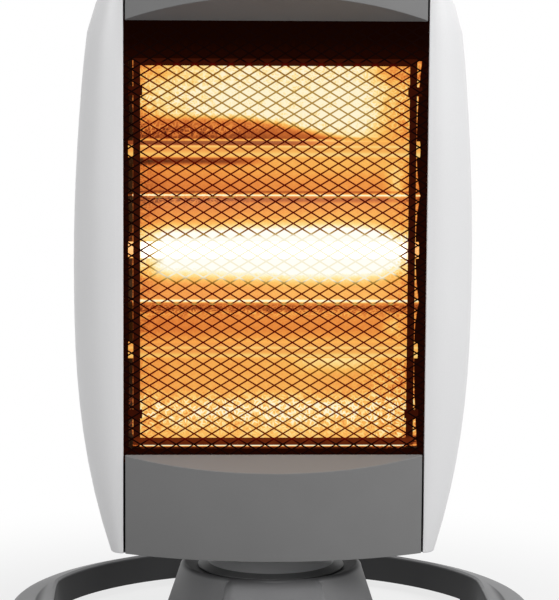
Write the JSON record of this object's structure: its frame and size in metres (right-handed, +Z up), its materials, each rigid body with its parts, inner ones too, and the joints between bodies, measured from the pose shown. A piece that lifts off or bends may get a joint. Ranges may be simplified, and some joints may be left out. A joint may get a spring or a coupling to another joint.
{
  "type": "halogen heater",
  "caption": "Free-standing halogen heater: upright body with quartz tubes in a troughed reflector behind a diamond mesh, turning on a hollow ring base.",
  "frame": {"origin": "on the floor, on the axis that the body turns about", "axes": "+Z up, the window faces -Y, +X to the right seen from the front"},
  "size_m": [0.388, 0.388, 0.5434],
  "materials": {
    "base_plastic": "satin moulded plastic",
    "base_steel": "black painted sheet",
    "ballast": "rough casting",
    "rubber_black": "matt",
    "screw_steel": "zinc plated",
    "zinc_steel": "zinc plated sheet",
    "gear_plastic": "natural acetal",
    "washer_plastic": "slippery nylon",
    "switch_plastic": "moulded",
    "plunger_red": "moulded",
    "collar_plastic": "satin moulded plastic",
    "black_plastic": "fine grain",
    "silver_panel": "silver paint, satin",
    "grey_panel": "satin moulded plastic",
    "mesh_black": "heat-resistant paint",
    "housing_black": "heat-resistant paint",
    "reflector_aluminium": "stucco embossed, bright",
    "ceramic_white": "unglazed steatite",
    "terminal_ivory": "moulded",
    "motor_steel": "drawn sheet",
    "control_silver": "satin silver",
    "quartz": "clear fused quartz",
    "quartz_lit": "clear fused quartz, lit",
    "filament_hot": "tungsten coil, glowing"
  },
  "bodies": {
    "base": {"base_moulding": "base_plastic", "base_plate": "base_steel", "ballast_ring": "ballast", "rubber_feet": "rubber_black", "base_screws": "screw_steel", "inlet_bush": "rubber_black", "fixed_gear": "gear_plastic", "pivot_screws": "screw_steel", "pivot_tube": "zinc_steel", "thrust_washer": "washer_plastic", "retaining_nut": "zinc_steel", "tip_switch": "switch_plastic"},
    "head": {"turntable_collar": "collar_plastic", "bottom_tray": "black_plastic", "tray_screws": "screw_steel", "rear_shell": "black_plastic", "side_panel_left": "silver_panel", "side_panel_right": "silver_panel", "lower_panel": "grey_panel", "upper_panel": "grey_panel", "top_cap": "grey_panel", "carry_handle": "black_plastic", "handle_screws": "screw_steel", "mesh_grille": "mesh_black", "bar_frame": "mesh_black", "frame_lugs": "mesh_black", "lug_screws": "screw_steel", "inner_housing": "housing_black", "housing_screws": "screw_steel", "reflector": "reflector_aluminium", "vent_comb": "housing_black", "tube_top": "quartz", "tube_middle": "quartz_lit", "tube_bottom": "quartz", "filaments": "filament_hot", "ceramic_caps": "ceramic_white", "cap_brackets": "zinc_steel", "thermal_cutout": "zinc_steel", "terminal_block": "terminal_ivory", "selector_switch": "switch_plastic", "oscillation_switch": "switch_plastic", "oscillation_motor": "motor_steel", "motor_screws": "screw_steel"},
    "pinion": {"drive_pinion": "gear_plastic"},
    "knob": {"power_knob": "control_silver"},
    "button": {"oscillation_button": "control_silver"},
    "plunger": {"tip_plunger": "plunger_red"}
  },
  "joints": [
    {"name": "oscillation", "type": "hinge", "parent": "base", "child": "head", "pos_m": [0, 0, 0.06], "axis": [0, 0, 1], "range_deg": [-35, 35]},
    {"name": "pinion_turn", "type": "hinge", "parent": "head", "child": "pinion", "pos_m": [0.024, 0, 0.06], "axis": [0, 0, 1], "range_deg": [-105, 105]},
    {"name": "power_select", "type": "hinge", "parent": "head", "child": "knob", "pos_m": [-0.024, -0.018, 0.527], "axis": [0, 0, -1], "range_deg": [0, 270]},
    {"name": "button_press", "type": "slide", "parent": "head", "child": "button", "axis": [0, 0, -1], "range_m": [0, 0.003], "stiffness_N_per_m": 600, "springref_m": -0.001},
    {"name": "plunger_drop", "type": "slide", "parent": "base", "child": "plunger", "axis": [0, 0, -1], "range_m": [0, 0.005], "stiffness_N_per_m": 120, "springref_m": 0.006}
  ],
  "couplings": [
    {"joint": "pinion_turn", "follows": "oscillation", "ratio": 3}
  ]
}
